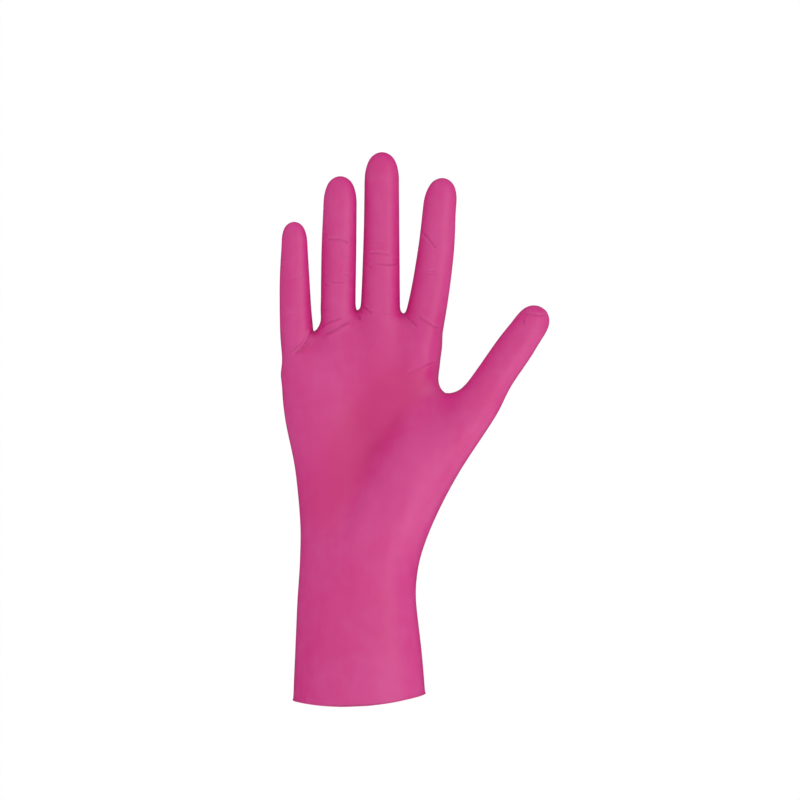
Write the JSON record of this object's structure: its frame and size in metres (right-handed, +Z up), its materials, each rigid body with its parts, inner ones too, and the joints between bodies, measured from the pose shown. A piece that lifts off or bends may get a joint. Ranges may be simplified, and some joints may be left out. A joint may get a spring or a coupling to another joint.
{
  "type": "nitrile exam glove",
  "caption": "Thin dipped nitrile exam glove in the open shape it takes on a right hand, hollow to the fingertips, with a long cuff and a rolled bead at the mouth.",
  "frame": {"origin": "middle of the cuff's mouth, where the hand goes in", "axes": "+Z up the glove to the middle fingertip, +X to the thumb side, -Y the way the palm side faces"},
  "size_m": [0.1185, 0.0465, 0.2423],
  "materials": {
    "film": "smooth, semi-matte, opaque pink nitrile"
  },
  "bodies": {
    "root": {"glove_film": "film"}
  },
  "joints": []
}
